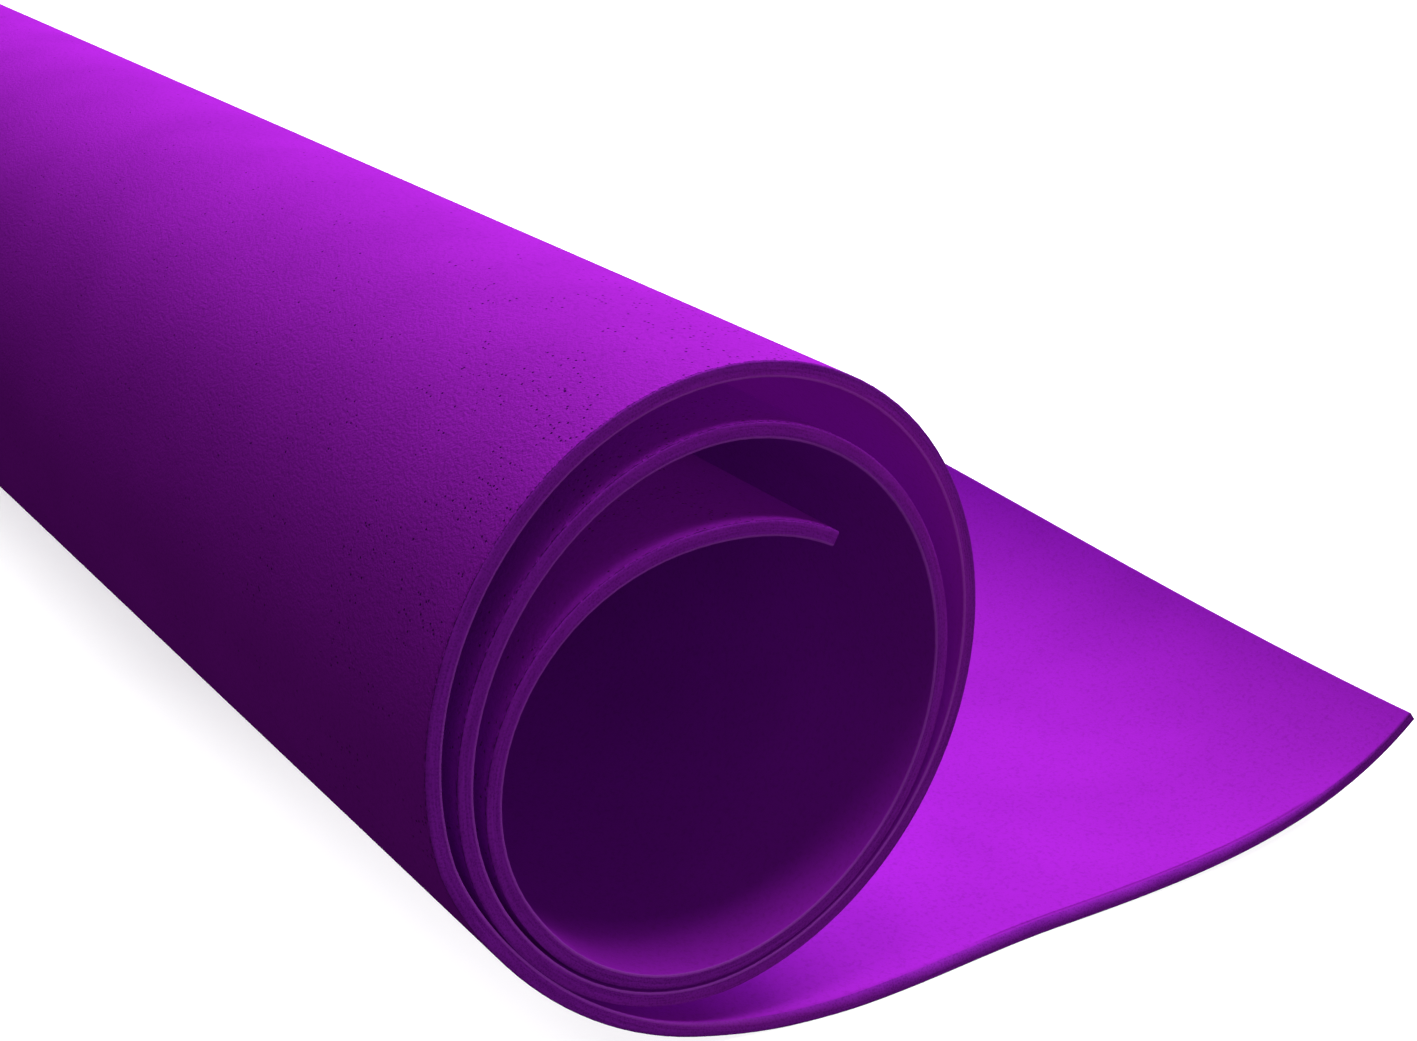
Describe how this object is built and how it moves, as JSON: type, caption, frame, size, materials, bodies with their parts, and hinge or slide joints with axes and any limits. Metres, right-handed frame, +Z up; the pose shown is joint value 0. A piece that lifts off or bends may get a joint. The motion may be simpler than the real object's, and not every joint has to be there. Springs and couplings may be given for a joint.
{
  "type": "craft foam sheet",
  "caption": "Thin flexible foam sheet, part rolled up in loose turns, its free end lying out flat and curling up at the edge.",
  "frame": {"origin": "centre of the footprint, on the ground under the sheet", "axes": "+Y across the sheet, along the roll; +X along the free end, away from the roll; +Z up"},
  "size_m": [0.167, 0.5, 0.0887],
  "materials": {
    "foam": "matt violet closed-cell foam with a fine skin, open cells on the cut edges"
  },
  "bodies": {
    "root": {"foam_sheet": "foam"}
  },
  "joints": []
}
